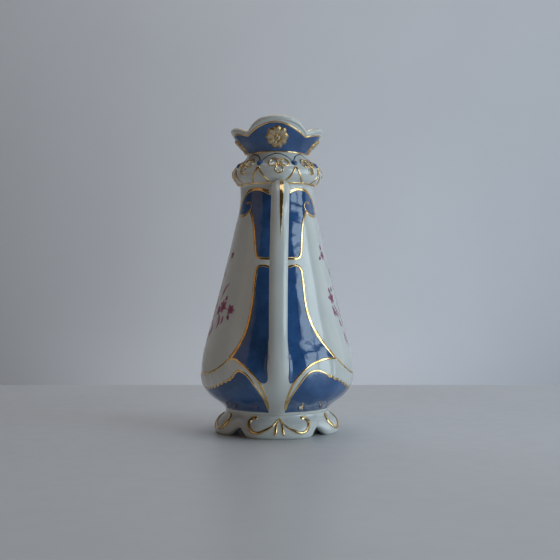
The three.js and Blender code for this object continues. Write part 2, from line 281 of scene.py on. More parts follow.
class Turned:
    """A surface turned about Z from a rising profile, whose points lobe(radius, height, azimuth) moves.

    Places on it are (azimuth, height), where height is the one before the lobes move it.
    """

    def __init__(self, profile, lobe=None, relief=None):
        self.radii, self.heights = splined(profile, 1500).T
        self.lobe, self.relief = lobe, relief

    def bare(self, azimuth, height):
        azimuth, height = np.broadcast_arrays(azimuth, height)
        radius = np.interp(height, self.heights, self.radii)
        if self.lobe:
            radius, height = self.lobe(radius, height, azimuth)
        return round_axis(radius, azimuth, height)

    def normal(self, azimuth, height):
        around = self.bare(azimuth + NUDGE, height) - self.bare(azimuth - NUDGE, height)
        below, above = np.clip([height - NUDGE, height + NUDGE], self.heights[0], self.heights[-1])
        return unit(np.cross(around, self.bare(azimuth, above) - self.bare(azimuth, below)))

    def at(self, azimuth, height, lift=0.0):
        azimuth, height = np.broadcast_arrays(azimuth, height)
        out = self.normal(azimuth, height)
        place = self.bare(azimuth, height)
        if self.relief:
            lift = lift + self.relief(azimuth, height, place, out)
        return place + out * np.asarray(lift, float)[..., None]


def four_lobes(azimuth):
    """1 at the middle of each lobe, over the handles and at the sides, and 0 in the notches between."""
    return np.abs(np.cos(2 * np.radians(azimuth)))


def foot_lobe(radius, height, azimuth):
    low = 1 - np.clip(height / FOOT_TOP, 0, 1)
    full = smooth(four_lobes(azimuth), 0, 0.8)
    arch = 1 - smooth(four_lobes(azimuth), 0, 0.45)
    narrowing = FOOT_NOTCH_NARROWING * (1 - full) * smooth(low, 0, 0.7)
    return radius * (1 - narrowing), height + FOOT_ARCH * arch * low


def collar_lobe(radius, height, azimuth):
    evened = azimuth - COLLAR_SPREAD * np.sin(2 * np.radians(azimuth))
    middle = np.sin(math.pi * np.clip((height - COLLAR_BOTTOM) / (COLLAR_TOP - COLLAR_BOTTOM), 0, 1))
    return radius + COLLAR_BULGE * middle * (np.cos(COLLAR_LOBES * np.radians(evened)) - 1), height


def collar_azimuth(step):
    """The azimuth of a lobe's middle, or at half steps of a valley."""
    even = step * 360 / COLLAR_LOBES
    return even + COLLAR_SPREAD * np.sin(2 * np.radians(even))


def mouth_lobe(radius, height, azimuth):
    softness = 0.06
    lobe = np.hypot(four_lobes(azimuth), softness) - softness
    swell = lobe * (1.55 - 0.55 * lobe)
    high = np.clip((height - MOUTH_BOTTOM) / (LIP_SIDE - LIP_DEPTH - MOUTH_BOTTOM), 0, 1) ** 1.5
    over_handle = np.where(np.cos(2 * np.radians(azimuth)) > 0, LIP_PEAK_RISE, 0)
    rise = over_handle * swell - LIP_NOTCH_DROP * (1 - swell)
    return radius - LIP_NOTCH_NARROWING * (1 - swell) * high, height + rise * high


# ---- the handle's skin, and how the belly rises to meet it ----


class HandleLine:
    """The centreline of the front handle, with its outward normals."""

    def __init__(self, spacing=0.8):
        path = flowing(HANDLE_LINE, spacing)
        along = unit(np.gradient(path, axis=0))
        self.out, self.up = path.T
        self.normal_out, self.normal_up = -along[:, 1], along[:, 0]

    def sideways(self, height):
        share = np.clip((height - HANDLE_LEAN_FROM) / (HANDLE_LEAN_TO - HANDLE_LEAN_FROM), 0, 1)
        return HANDLE_OFFSET + HANDLE_LEAN * share**2


HANDLE = HandleLine()


def outside_handle(points):
    """Roughly how far points lie outside the front handle's skin."""
    out, up = -points[..., 1], points[..., 2]
    nearest = np.argmin((out[..., None] - HANDLE.out) ** 2 + (up[..., None] - HANDLE.up) ** 2, axis=-1)
    off = (out - HANDLE.out[nearest]) * HANDLE.normal_out[nearest]
    off = off + (up - HANDLE.up[nearest]) * HANDLE.normal_up[nearest]
    across = points[..., 0] - HANDLE.sideways(up)
    reach = np.hypot(across / HANDLE_HALF_WIDTH, off / HANDLE_HALF_THICKNESS)
    steep = np.hypot(across / HANDLE_HALF_WIDTH**2, off / HANDLE_HALF_THICKNESS**2)
    return reach * (reach - 1) / np.maximum(steep, 1e-6)


def root_swell(azimuth, height, place, out):
    """How far the belly swells out round the handles' lower roots, blended into their skin by a fillet."""
    folded = (azimuth + 90) % 180 - 90
    at_back = np.abs((azimuth + 180) % 360 - 180) > 90
    turned = np.where(at_back, -1.0, 1.0)[..., None] * [1, 1, 0] + [0, 0, 1]
    near = (np.abs(folded) < ROOT_ASIDE) & (height < ROOT_TOP)
    swell = np.zeros(np.shape(azimuth))
    if not near.any():
        return swell
    reach = np.arange(0, ROOT_REACH, ROOT_STEP)
    start, way = (place * turned)[near], (out * turned)[near]
    gap = outside_handle(start[:, None] + reach[None, :, None] * way[:, None])
    # The handle's skin is taken 0.1 fuller at its root and 0.14 leaner higher up.
    gap = gap - 0.1 + 0.24 * smooth(height[near], 60, 66)[:, None]
    blend = np.clip(ROOT_FILLET - np.abs(gap - reach), 0, None) / ROOT_FILLET
    depth = np.minimum(gap, reach) - blend**2 * ROOT_FILLET / 4
    free = depth > 1e-4
    first = np.argmax(free, axis=1)
    first = np.where(free.any(axis=1), np.maximum(first, 1), len(reach) - 1)
    row = np.arange(len(first))
    before, after = depth[row, first - 1], depth[row, first]
    share = np.clip(-before / np.maximum(after - before, 1e-6), 0, 1)
    found = reach[first - 1] + share * (reach[first] - reach[first - 1])
    swell[near] = np.where(gap[:, 0] < ROOT_FILLET, found, 0)
    return swell


# ---- mesh helpers ----


def added(name, data):
    """A new object in the scene."""
    thing = bpy.data.objects.new(name, data)
    bpy.context.scene.collection.objects.link(thing)
    return thing


def mesh_of(name, points, faces, material):
    """A mesh from points in millimetres."""
    mesh = bpy.data.meshes.new(name)
    faces = [tuple(int(i) for i in face) for face in faces]
    mesh.from_pydata([tuple(point) for point in np.asarray(points) * MM], [], faces)
    mesh.materials.append(material)
    return mesh


def piece(name, vertices, faces, material, slot, replaces=(), shades=None, turn=0.0):
    """A smooth-shaded mesh on the vase's one body, from points in millimetres, turned about Z by degrees."""
    angle = math.radians(turn)
    cosine, sine = math.cos(angle), math.sin(angle)
    vertices = np.asarray(vertices) @ np.array([[cosine, sine, 0], [-sine, cosine, 0], [0, 0, 1]])
    mesh = mesh_of(name, vertices, faces, material)
    mesh.validate()
    mesh.polygons.foreach_set("use_smooth", [True] * len(mesh.polygons))
    if shades is not None:
        attribute = mesh.attributes.new("shade", "FLOAT", "POINT")
        attribute.data.foreach_set("value", np.asarray(shades, np.float32))
    thing = added(name, mesh)
    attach(thing, "root")
    if replaces:
        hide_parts(*replaces)
    return thing


def ring_faces(rows, columns, closed_rows=False):
    """Quads of a grid whose columns wrap round, and whose rows may too."""
    faces = []
    for row in range(rows if closed_rows else rows - 1):
        for column in range(columns):
            here, above = row * columns, ((row + 1) % rows) * columns
            beside = (column + 1) % columns
            faces.append((here + column, here + beside, above + beside, above + column))
    return faces


def capped_faces(rows, columns):
    """Faces of a tube of rings with its two ends closed."""
    first = tuple(range(columns))[::-1]
    last = tuple((rows - 1) * columns + i for i in range(columns))
    return ring_faces(rows, columns) + [first, last]


def flipped(faces):
    return [face[::-1] for face in faces]


def turned_mesh(rings):
    """Vertices and faces of a body made of rings of points, closed back to its first ring."""
    return np.concatenate(rings), ring_faces(len(rings), len(rings[0]), closed_rows=True)


def inside(points, outline):
    """Which points lie inside a closed outline."""
    x, y = points[:, 0][:, None], points[:, 1][:, None]
    ax, ay = outline.T
    bx, by = np.roll(outline, -1, axis=0).T
    crossing = (ay > y) != (by > y)
    with np.errstate(divide="ignore", invalid="ignore"):
        at = ax + (y - ay) * (bx - ax) / (by - ay)
    return (crossing & (x < at)).sum(axis=1) % 2 == 1


def within(points, loops):
    """Which points lie inside the first outline and outside the others."""
    keep = inside(points, loops[0])
    for hole in loops[1:]:
        keep &= ~inside(points, hole)
    return keep


def filled(outline, holes=(), spacing=1.6):
    """A triangulation of the area inside an outline and outside its holes: points and triangles."""
    loops = [np.asarray(loop, float) for loop in (outline, *holes)]
    low, high = loops[0].min(axis=0), loops[0].max(axis=0)
    counts = np.maximum(np.ceil((high - low) / spacing).astype(int), 1) + 1
    across, up = np.meshgrid(*(np.linspace(*ends) for ends in zip(low, high, counts)))
    across = across + spacing / 2 * (np.arange(counts[1]) % 2)[:, None]
    grid = np.stack([across.ravel(), up.ravel()], axis=1)
    edge = np.concatenate(loops)
    grid = grid[within(grid, loops)]
    clear = ((grid[:, None] - edge[None]) ** 2).sum(axis=2).min(axis=1) > (0.5 * spacing) ** 2
    edges, start = [], 0
    for loop in loops:
        edges += [(start + i, start + (i + 1) % len(loop)) for i in range(len(loop))]
        start += len(loop)
    points = np.concatenate([edge, grid[clear]])
    result = delaunay_2d_cdt([Vector(p) for p in points], edges, [], 0, 1e-5)
    points = np.array([tuple(v) for v in result[0]])
    triangles = np.array([tuple(f) for f in result[2]])
    return points, triangles[within(points[triangles].mean(axis=1), loops)]


def shell(points, triangles, skin, depth=0.3):
    """A thin closed sheet: a triangulation laid on skin(points, lift), with an underside sunk below it."""
    count = len(points)
    sides = dict.fromkeys(edge for a, b, c in triangles for edge in ((a, b), (b, c), (c, a)))
    rim = [edge for edge in sides if (edge[1], edge[0]) not in sides]
    faces = [tuple(t) for t in triangles] + [tuple(count + i for i in t[::-1]) for t in triangles]
    faces += [(b, a, count + a, count + b) for a, b in rim]
    return np.concatenate([skin(points, 0), skin(points, -depth)]), faces


def merged(parts):
    """Several (vertices, faces) as one."""
    vertices, faces, start = [], [], 0
    for part_vertices, part_faces in parts:
        vertices.append(part_vertices)
        faces += [tuple(start + i for i in face) for face in part_faces]
        start += len(part_vertices)
    return np.concatenate(vertices), faces


def bead_line(surface, route, width, crown=LINE_LIFT, sink=0.25, seed=0):
    """A rounded line over a surface, along a route of (azimuth, height), with one width or one per point."""
    place = surface.at(route[:, 0], route[:, 1])
    out = surface.normal(route[:, 0], route[:, 1])
    closed = np.allclose(place[0], place[-1], atol=0.05)
    if closed:
        place, out = place[:-1], out[:-1]
        along = np.roll(place, -1, axis=0) - np.roll(place, 1, axis=0)
    else:
        along = np.gradient(place, axis=0)
    along = unit(along)
    side = unit(np.cross(along, out))
    out = np.cross(side, along)
    count = len(place)
    distance = distance_along(place)
    unsteady = np.array([1 + 0.16 * noise.noise(Vector((0.16 * d, 7.3 * seed, 0.5))) for d in distance])
    width = np.broadcast_to(np.asarray(width, float), (len(route),))[:count] * (1 if closed else unsteady)
    height = np.full(count, float(crown))
    if not closed:
        end = np.minimum(distance, distance[-1] - distance)
        near = 1 - np.clip(end / (0.5 * width.max() + 0.05), 0, 1)
        rounded = np.sqrt(np.clip(1 - near**2, 0.02, 1))
        width, height = width * rounded, height * rounded
    section = [(0.5 * width * math.cos(a), height * math.sin(a)) for a in np.radians(np.arange(0, 181, 36))]
    section += [(-0.4 * width, np.full(count, -sink)), (0.4 * width, np.full(count, -sink))]
    ring = [place + side * across[:, None] + out * up[:, None] for across, up in section]
    vertices = np.stack(ring, axis=1).reshape(-1, 3)
    around = len(ring)
    return vertices, ring_faces(count, around, closed_rows=True) if closed else capped_faces(count, around)


# ---- materials ----


class Recipe:
    """A principled material and the few nodes that every finish here is mixed from."""

    def __init__(self, name):
        self.material = bpy.data.materials.new(name)
        self.material.use_nodes = True
        self.nodes, self.links = self.material.node_tree.nodes, self.material.node_tree.links
        self.shader = self.nodes["Principled BSDF"]
        self.place = self.nodes.new("ShaderNodeTexCoord").outputs["Object"]

    def set(self, **values):
        for name, value in values.items():
            self.shader.inputs[name.replace("_", " ")].default_value = value
        return self

    def node(self, kind, output, *inputs):
        """A node's output, from (name, value) inputs that are numbers or other nodes' outputs."""
        node = self.nodes.new("ShaderNode" + kind)
        for name, value in inputs:
            self.give(node.inputs[name], value)
        return node.outputs[output]

    def give(self, socket, value):
        if isinstance(value, bpy.types.NodeSocket):
            self.links.new(value, socket)
        else:
            socket.default_value = value

    def cloud(self, size, detail=2.0, distortion=0.0):
        """Soft noise from 0 to 1 whose blotches are about size millimetres across."""
        numbers = ("Scale", 1 / (size * MM)), ("Detail", detail), ("Distortion", distortion)
        return self.node("TexNoise", "Fac", *numbers, ("Vector", self.place))

    def ramp(self, source, low, high, start, end):
        """The source's range from low to high, spread over start to end."""
        ends = ("From Min", low), ("From Max", high), ("To Min", start), ("To Max", end)
        return self.node("MapRange", "Result", *ends, ("Value", source))

    def patchy(self, size, detail, start, end):
        """Soft noise spread over start to end."""
        return self.ramp(self.cloud(size, detail), 0.3, 0.7, start, end)

    def colours(self, source, *stops):
        """A colour ramp over the source, from (position, (r, g, b)) stops."""
        out = self.node("ValToRGB", "Color", ("Fac", source))
        elements = out.node.color_ramp.elements
        while len(elements) < len(stops):
            elements.new(0.5)
        for element, (position, colour) in zip(elements, stops):
            element.position = position
            element.color = (*colour, 1)
        return out

    def blend(self, share, first, second):
        """The first colour where share is 0 and the second where it is 1."""
        node = self.nodes.new("ShaderNodeMix")
        node.data_type = "RGBA"
        for name, value in (("Factor", share), (6, first), (7, second)):
            self.give(node.inputs[name], value)
        return node.outputs[2]

    def total(self, *terms):
        """The sum of (source, weight) terms."""
        total = 0
        for source, weight in terms:
            node = self.nodes.new("ShaderNodeMath")
            node.operation = "MULTIPLY_ADD"
            for socket, value in zip(node.inputs, (source, weight, total)):
                self.give(socket, value)
            total = node.outputs[0]
        return total

    def shade(self):
        """The shade painted on the mesh's points, from 0 to 1."""
        out = self.node("Attribute", "Fac")
        out.node.attribute_name = "shade"
        return out

    def feed(self, source, name):
        self.links.new(source, self.shader.inputs[name])
        return self

    def relief(self, *layers):
        """Bumps from (source, height in millimetres) layers."""
        below = ()
        for source, height in layers:
            normal = self.node("Bump", "Normal", ("Distance", height * MM), ("Height", source), *below)
            below = (("Normal", normal),)
        return self.feed(normal, "Normal")


def white_porcelain():
    """Clear glaze over white porcelain: faintly uneven in tone, with a soft ripple and fine pinholes."""
    recipe = Recipe("white_porcelain").set(IOR=1.5, Coat_Weight=0.35, Coat_Roughness=0.04)
    tone = recipe.colours(recipe.cloud(34, 3), (0.3, (0.70, 0.735, 0.72)), (0.7, (0.775, 0.79, 0.765)))
    speck = recipe.ramp(recipe.cloud(1.1, 1), 0.80, 0.86, 0, 0.6)
    dot = recipe.colours(speck, (0, (0.5, 0.5, 0.5)), (1, (0.36, 0.33, 0.28)))
    recipe.feed(recipe.blend(speck, tone, dot), "Base Color")
    recipe.feed(recipe.patchy(9, 3, 0.10, 0.2), "Roughness")
    return recipe.relief((recipe.cloud(16, 1), 0.35), (recipe.cloud(1.6, 2), 0.012)).material


def blue_glaze(name, *tones):
    """Cobalt glaze: pooled darker in drifts, a little thin and light elsewhere, with a rippled surface."""
    recipe = Recipe(name).set(IOR=1.52, Coat_Weight=0.5, Coat_Roughness=0.03)
    drift = recipe.total((recipe.cloud(13, 3, 0.6), 0.7), (recipe.cloud(1.3, 2), 0.3))
    recipe.feed(recipe.colours(drift, *zip((0.3, 0.52, 0.75), tones)), "Base Color")
    recipe.feed(recipe.patchy(7, 2, 0.06, 0.13), "Roughness")
    return recipe.relief((recipe.cloud(11, 1), 0.7), (recipe.cloud(1.8, 2), 0.012)).material


def gilding():
    """Bright gold painted on and fired: brush-streaked, and browner where thin."""
    recipe = Recipe("gilding").set(Metallic=1.0)
    streak = recipe.total((recipe.cloud(5, 4), 0.55), (recipe.cloud(0.7, 3), 0.45))
    brown, gold, bright = (0.44, 0.22, 0.07), (0.80, 0.52, 0.21), (0.94, 0.74, 0.42)
    recipe.feed(recipe.colours(streak, (0.30, brown), (0.45, gold), (0.62, bright)), "Base Color")
    recipe.feed(recipe.ramp(streak, 0.3, 0.7, 0.2, 0.08), "Roughness")
    return recipe.relief((recipe.cloud(0.8, 3), 0.03)).material


def gilt_relief():
    """A white relief brushed with gold: gilt where the shade is 1, a thin warm wash of it elsewhere."""
    recipe = Recipe("gilt_relief").set(IOR=1.5)
    ragged = recipe.total((recipe.shade(), 1), (recipe.patchy(0.9, 3, -0.3, 0.3), 1))
    share = recipe.ramp(ragged, 0.32, 0.54, 0, 1)
    wash = recipe.colours(recipe.cloud(2.2, 3), (0.35, (0.44, 0.35, 0.22)), (0.65, (0.60, 0.53, 0.40)))
    gold = recipe.colours(recipe.cloud(1.1, 3), (0.35, (0.50, 0.28, 0.09)), (0.6, (0.84, 0.58, 0.25)))
    recipe.feed(recipe.blend(share, wash, gold), "Base Color")
    recipe.feed(recipe.ramp(share, 0, 1, 0.15, 0.95), "Metallic")
    recipe.feed(recipe.patchy(1.5, 2, 0.2, 0.4), "Roughness")
    return recipe.relief((recipe.cloud(0.9, 3), 0.03)).material


def magenta_enamel():
    """Overglaze enamel laid on with a brush: pale where the shade is 0, deep plum where it is 1."""
    recipe = Recipe("magenta_enamel").set(IOR=1.5)
    loaded = recipe.total((recipe.shade(), 1), (recipe.patchy(0.9, 3, -0.22, 0.22), 1))
    pale, magenta, plum = (0.66, 0.46, 0.53), (0.46, 0.13, 0.25), (0.20, 0.02, 0.065)
    recipe.feed(recipe.colours(loaded, (0.0, pale), (0.45, magenta), (1.0, plum)), "Base Color")
    recipe.feed(recipe.patchy(1.5, 2, 0.18, 0.32), "Roughness")
    return recipe.relief((recipe.cloud(0.6, 2), 0.02)).material


PORCELAIN, GOLD = white_porcelain(), gilding()
BLUE = blue_glaze("blue_glaze", (0.019, 0.072, 0.205), (0.032, 0.110, 0.30), (0.050, 0.157, 0.39))
DEEP_BLUE = blue_glaze("deep_blue_line", (0.006, 0.013, 0.04), (0.010, 0.022, 0.07), (0.02, 0.045, 0.12))
GILT_RELIEF, ENAMEL = gilt_relief(), magenta_enamel()


# ---- how the decoration is laid out ----


def drift(aside, height):
    """How far the hand-fitted decoration leans round the vase, in degrees."""
    upper = 4.4 * np.clip((100 - height) / 39, 0, 1) ** 1.5 * smooth(aside, 10, 24)
    upper = upper - 1.2 * (1 - smooth(aside, 8, 11))
    by_handle = 1.1 * (1 - smooth(aside, 7, 11)) * smooth(height, 36, 46)
    lower = -2.3 + by_handle + 6.5 * smooth(aside, 24, 46)
    share = smooth(height, 60.5, 66)
    return (1 - smooth(aside, 56, 88)) * (lower * (1 - share) + upper * share)


def aside_of(azimuth, height):
    """How far round from the nearest handle a place lies, as the decoration's half outlines count it."""
    folded = (azimuth + 90) % 180 - 90
    return np.abs(folded - drift(np.abs(folded), height))


def frill_relief(azimuth, height):
    """The fluted band below the side panels."""
    aside = aside_of(azimuth, height)
    top = np.interp(aside, *np.array([(34, 61.4), *PANEL_FOOT]).T)
    bottom = np.interp(aside, *np.array(FRILL_FOOT).T)
    band = smooth(height, bottom - 0.4, bottom + 1.1) * (1 - smooth(height, top - 1.3, top + 0.2))
    return smooth(aside, 36, 46) * band * (0.5 + 0.17 * np.cos(2 * math.pi * aside / FLUTE))


def belly_relief(azimuth, height, place, out):
    return root_swell(azimuth, height, place, out) + frill_relief(azimuth, height)


BELLY = Turned(BELLY_OUTSIDE, relief=belly_relief)
FOOT = Turned(FOOT_OUTSIDE, foot_lobe)
COLLAR = Turned(COLLAR_OUTSIDE, collar_lobe)
MOUTH = Turned(MOUTH_OUTSIDE, mouth_lobe)


class Mapped:
    """A surface whose own places are turned by places() into those of the surface under it."""

    def at(self, across, up, lift=0.0):
        return self.surface.at(*self.places(across, up), lift)

    def normal(self, across, up):
        return self.surface.normal(*self.places(across, up))


class Patch(Mapped):
    """A small area of a turned surface, its places given in millimetres across and up from a centre."""

    def __init__(self, surface, azimuth, height, mirrored=False):
        self.along = distance_along(np.stack([surface.radii, surface.heights], axis=1))
        self.surface, self.azimuth = surface, azimuth
        self.centre = np.interp(height, surface.heights, self.along)
        self.round = np.degrees(1 / np.interp(height, surface.heights, surface.radii))
        if mirrored:
            self.round = -self.round

    def places(self, across, up):
        height = np.interp(self.centre + up, self.along, self.surface.heights)
        return self.azimuth + across * self.round, height


class CollarLobe(Mapped):
    """One lobe of the collar, its places given as (distance round from its middle, height)."""

    surface = COLLAR

    def __init__(self, number):
        self.number = number

    def places(self, across, height):
        return collar_azimuth(self.number + across / COLLAR_LOBE_WIDTH), height


class HandleSkin:
    """The front handle's skin, its places given as (degrees round, distance along)."""

    def __init__(self):
        self.distance = distance_along(np.stack([HANDLE.out, HANDLE.up], axis=1))

    def at(self, turn, distance, lift=0.0):
        """Turn is in degrees: 0 on the +X side, 90 on the outer face."""
        turn, distance = np.broadcast_arrays(np.asarray(turn, float), np.asarray(distance, float))
        line = (HANDLE.out, HANDLE.up, HANDLE.normal_out, HANDLE.normal_up)
        out, up, normal_out, normal_up = (np.interp(distance, self.distance, values) for values in line)
        angle = np.radians(turn)
        cosine, sine = np.cos(angle), np.sin(angle)
        squareness = 2 / HANDLE_SQUARENESS
        clear = np.clip(out - HANDLE_NECK, 0, TOP_FILLET)
        flare = TOP_FILLET - np.sqrt(TOP_FILLET**2 - (TOP_FILLET - clear) ** 2)
        flare = np.where(up > HANDLE_BEND, flare, 0)
        ridge = HANDLE_RIDGE * np.clip(sine, 0, 1) ** 6 * smooth(up, 140, HANDLE_BEND)
        wide = (HANDLE_HALF_WIDTH + flare + lift) * np.sign(cosine) * np.abs(cosine) ** squareness
        thick = (HANDLE_HALF_THICKNESS + flare + lift) * np.sign(sine) * np.abs(sine) ** squareness + ridge
        level = up + thick * normal_up
        return np.stack([HANDLE.sideways(level) + wide, -(out + thick * normal_out), level], axis=-1)

    def normal(self, turn, distance):
        round_way = self.at(turn + 1.0, distance) - self.at(turn - 1.0, distance)
        down = self.at(turn, distance + NUDGE) - self.at(turn, distance - NUDGE)
        return unit(np.cross(down, round_way))

    def distance_at(self, height):
        """How far along the handle its outer run passes a height."""
        outer = np.argmax(HANDLE.up)
        return np.interp(-height, -HANDLE.up[outer:], self.distance[outer:])


HANDLE_SKIN = HandleSkin()


def round_belly(half, side, back):
    """A half outline put on one side (1 or -1) of the front (0) or back (1) handle."""
    half = np.asarray(half, float)
    azimuth = side * half[:, 0] + drift(half[:, 0], half[:, 1]) + 180 * back
    return np.stack([azimuth, half[:, 1]], axis=1)


def joined(*lines):
    """Smooth lines through each list of points, run end to end."""
    parts = [flowing(line, 0.8) for line in lines]
    return np.concatenate([parts[0]] + [part[1:] for part in parts[1:]])


def both_sides(half, back):
    """A closed outline from a half outline that starts and ends on the handle, and its mirror image."""
    right, left = round_belly(half, 1, back), round_belly(half, -1, back)
    return np.concatenate([right, left[-2:0:-1]])


def across_side(front_half, side):
    """A line from the front handle round one side to the back handle."""
    front, back = round_belly(front_half, side, 0), round_belly(front_half, -side, 1)
    if side < 0:
        back = back - [360, 0]
    return np.concatenate([front, back[::-1]])


def scalloped(half):
    """A frill's foot with the small scallops between its flutes."""
    half = flowing(half, 0.4)
    depth = 1.6 * smooth(half[:, 0], 34, 38) * np.abs(np.sin(math.pi * (half[:, 0] - FLUTE / 2) / FLUTE))
    return half - np.stack([0 * depth, depth], axis=1)


UPPER_HALF = joined(UPPER_FIELD_TOP, UPPER_FIELD_LOBE, UPPER_FIELD_SIDE)
LOWER_HALF = joined(LOWER_FIELD_TOP, LOWER_FIELD_SIDE, FRILL_TOP_OUTER, LOWER_FIELD_POINT)
FRILL_HALF = scalloped(FRILL_FOOT)


def ring_route(height, columns=240):
    """A closed route round the vase at one height."""
    azimuths = np.linspace(0, 360, columns + 1)
    return np.stack([azimuths, 0 * azimuths + height], axis=1)


# ---- castings ----


def even_azimuths(columns):
    return np.arange(columns) * 360 / columns


def belly_azimuths():
    """Azimuths round the belly, closer together by the handles."""
    by_handle = np.arange(-ROOT_ASIDE, ROOT_ASIDE, 0.6)
    between = np.linspace(ROOT_ASIDE + 0.2, 180 - ROOT_ASIDE, 150, endpoint=False)
    half = np.concatenate([by_handle, between])
    return np.concatenate([half, half + 180])


def turned_ring(radius, height, azimuths, lobe=None):
    height = np.full(len(azimuths), float(height))
    if lobe:
        radius, height = lobe(radius, height, azimuths)
    return round_axis(radius, azimuths, height)


def profile_rings(profile, azimuths, lobe=None, spacing=1.0):
    """Rings of points along a profile that may fall as well as rise."""
    return [turned_ring(radius, height, azimuths, lobe) for radius, height in flowing(profile, spacing)]


def make_foot():
    azimuths = even_azimuths(288)
    outer = profile_rings(FOOT_OUTSIDE, azimuths, foot_lobe, 0.8)
    inner = profile_rings(FOOT_INSIDE, azimuths, foot_lobe, 1.5)
    piece("foot_casting", *turned_mesh(outer + inner), PORCELAIN, "white_porcelain", ["foot"])


def make_belly():
    azimuths = belly_azimuths()
    outer = [BELLY.at(azimuths, height) for height in np.linspace(17.4, 197.8, 150)]
    plain = Turned(BELLY_OUTSIDE)
    inner = [plain.at(azimuths, height, -BELLY_WALL) for height in np.linspace(196.5, 25, 30)]
    rings = outer + inner + [turned_ring(38, 20.5, azimuths)]
    faces = capped_faces(len(rings), len(azimuths))
    piece("belly_casting", np.concatenate(rings), faces, PORCELAIN, "painted_porcelain", ["belly"])


def make_mouth():
    azimuths = even_azimuths(288)
    outer = profile_rings(MOUTH_OUTSIDE, azimuths, mouth_lobe, 0.9)
    turns = np.radians(np.arange(-45, 200, 15))
    roll = [(LIP_RADIUS + LIP_HALF * math.cos(a), LIP_HEIGHT + LIP_HALF * math.sin(a)) for a in turns]
    lip = [turned_ring(radius, height, azimuths, mouth_lobe) for radius, height in roll]
    inner = profile_rings(MOUTH_INSIDE, azimuths, mouth_lobe, 1.5)
    body = turned_mesh(outer + lip + inner)
    piece("mouth_casting", *body, PORCELAIN, "blue_glaze", ["mouth"], turn=UPPER_TURN)


def under_lip(azimuth):
    """The height of the gilt line under the lip, pointed over the handles and a little lower at the sides."""
    lobe = np.cos(2 * np.radians(azimuth))
    pointed = 1.5 * 4 * np.clip(lobe, 0, 1) * (1 - np.clip(lobe, 0, 1))
    slanting = 0.8 * np.sin(2 * np.radians(azimuth))
    return UNDER_LIP - pointed - slanting - 1.1 * np.clip(-lobe, 0, 1)


def make_mouth_glaze():
    """The cobalt glaze on the outside of the mouth, as a skin."""
    azimuths = even_azimuths(288)
    heights = [NECK_LINE + (under_lip(azimuths) - NECK_LINE) * share for share in np.linspace(0, 1, 20)]
    rings = [MOUTH.at(azimuths, height, FIELD_LIFT) for height in heights]
    rings += [MOUTH.at(azimuths, height, -0.4) for height in heights[::-1]]
    piece("mouth_glaze", *turned_mesh(rings), BLUE, "blue_glaze", turn=UPPER_TURN)


class LipRoll:
    """The rolled lip, its places given as (azimuth, degrees round the roll from its outer side)."""

    def at(self, azimuth, turn, lift=0.0):
        azimuth, turn = np.broadcast_arrays(azimuth, turn)
        angle = np.radians(turn)
        radius = LIP_RADIUS + (LIP_HALF + lift) * np.cos(angle)
        radius, height = mouth_lobe(radius, LIP_HEIGHT + (LIP_HALF + lift) * np.sin(angle), azimuth)
        return round_axis(radius, azimuth, height)

    def normal(self, azimuth, turn):
        return unit(self.at(azimuth, turn, 0.5) - self.at(azimuth, turn))


def oval(centre, half_width, half_height, tilt=0.0, points=28, pointed=0.0):
    """A closed oval, narrowed towards its top by pointed."""
    turn = np.radians(even_azimuths(points))
    x = half_width * np.cos(turn) * (1 - pointed * np.sin(turn))
    y = half_height * np.sin(turn)
    cosine, sine = math.cos(math.radians(tilt)), math.sin(math.radians(tilt))
    return np.array(centre) + np.stack([x * cosine - y * sine, x * sine + y * cosine], axis=1)


def collar_openings(shift, grown=0.0):
    """The trefoil of openings in each lobe, grown outwards by a distance."""
    return [
        oval((shift + aside, height), wide + grown, tall + grown, tilt, pointed=pointed)
        for aside, height, wide, tall, tilt, pointed in TREFOIL
    ]


def make_collar():
    """The pierced collar: outer and inner sheets of one lobe, joined round its openings, eight times."""
    half = COLLAR_LOBE_WIDTH / 2
    levels = np.linspace(COLLAR_OUTSIDE[0][1], COLLAR_OUTSIDE[-1][1], 36)
    across = np.linspace(-half, half, 37)
    outline = [(x, levels[0]) for x in across] + [(half, z) for z in levels[1:-1]]
    outline += [(x, levels[-1]) for x in across[::-1]] + [(-half, z) for z in levels[-2:0:-1]]
    depths = (0, 0.15, 0.5, COLLAR_WALL - 0.5, COLLAR_WALL)
    parts = []
    for number, shift in enumerate(TREFOIL_SHIFTS):
        lobe = CollarLobe(number)
        points, triangles = filled(outline, collar_openings(shift, 0.35), spacing=0.9)
        rims = [collar_openings(shift, grown) for grown in (0.35, 0.1, 0, 0, 0.35)]
        outer, inner = lobe.at(*points.T), lobe.at(*points.T, -COLLAR_WALL)
        parts += [(outer, triangles), (inner, triangles[:, ::-1])]
        for hole in range(3):
            loops = [lobe.at(*rim[hole].T, -depth) for rim, depth in zip(rims, depths)]
            parts.append((np.concatenate(loops), flipped(ring_faces(len(loops), len(loops[0])))))
        for level, flip in ((levels[0], False), (levels[-1], True)):
            edge = np.array([(x, level) for x in across])
            band = np.concatenate([lobe.at(*edge.T), lobe.at(*edge.T, -COLLAR_WALL)])
            count = len(edge)
            quads = [(i, i + count, i + count + 1, i + 1) for i in range(count - 1)]
            parts.append((band, flipped(quads) if flip else quads))
    body = merged(parts)
    collar = piece("collar_casting", *body, PORCELAIN, "white_porcelain", ["collar"], turn=UPPER_TURN)
    weld(collar)


def weld(thing):
    """Joins a mesh's coinciding points, and faces it outwards."""
    mesh = bmesh.new()
    mesh.from_mesh(thing.data)
    bmesh.ops.remove_doubles(mesh, verts=mesh.verts, dist=0.004 * MM)
    bmesh.ops.recalc_face_normals(mesh, faces=mesh.faces)
    mesh.to_mesh(thing.data)
    mesh.free()


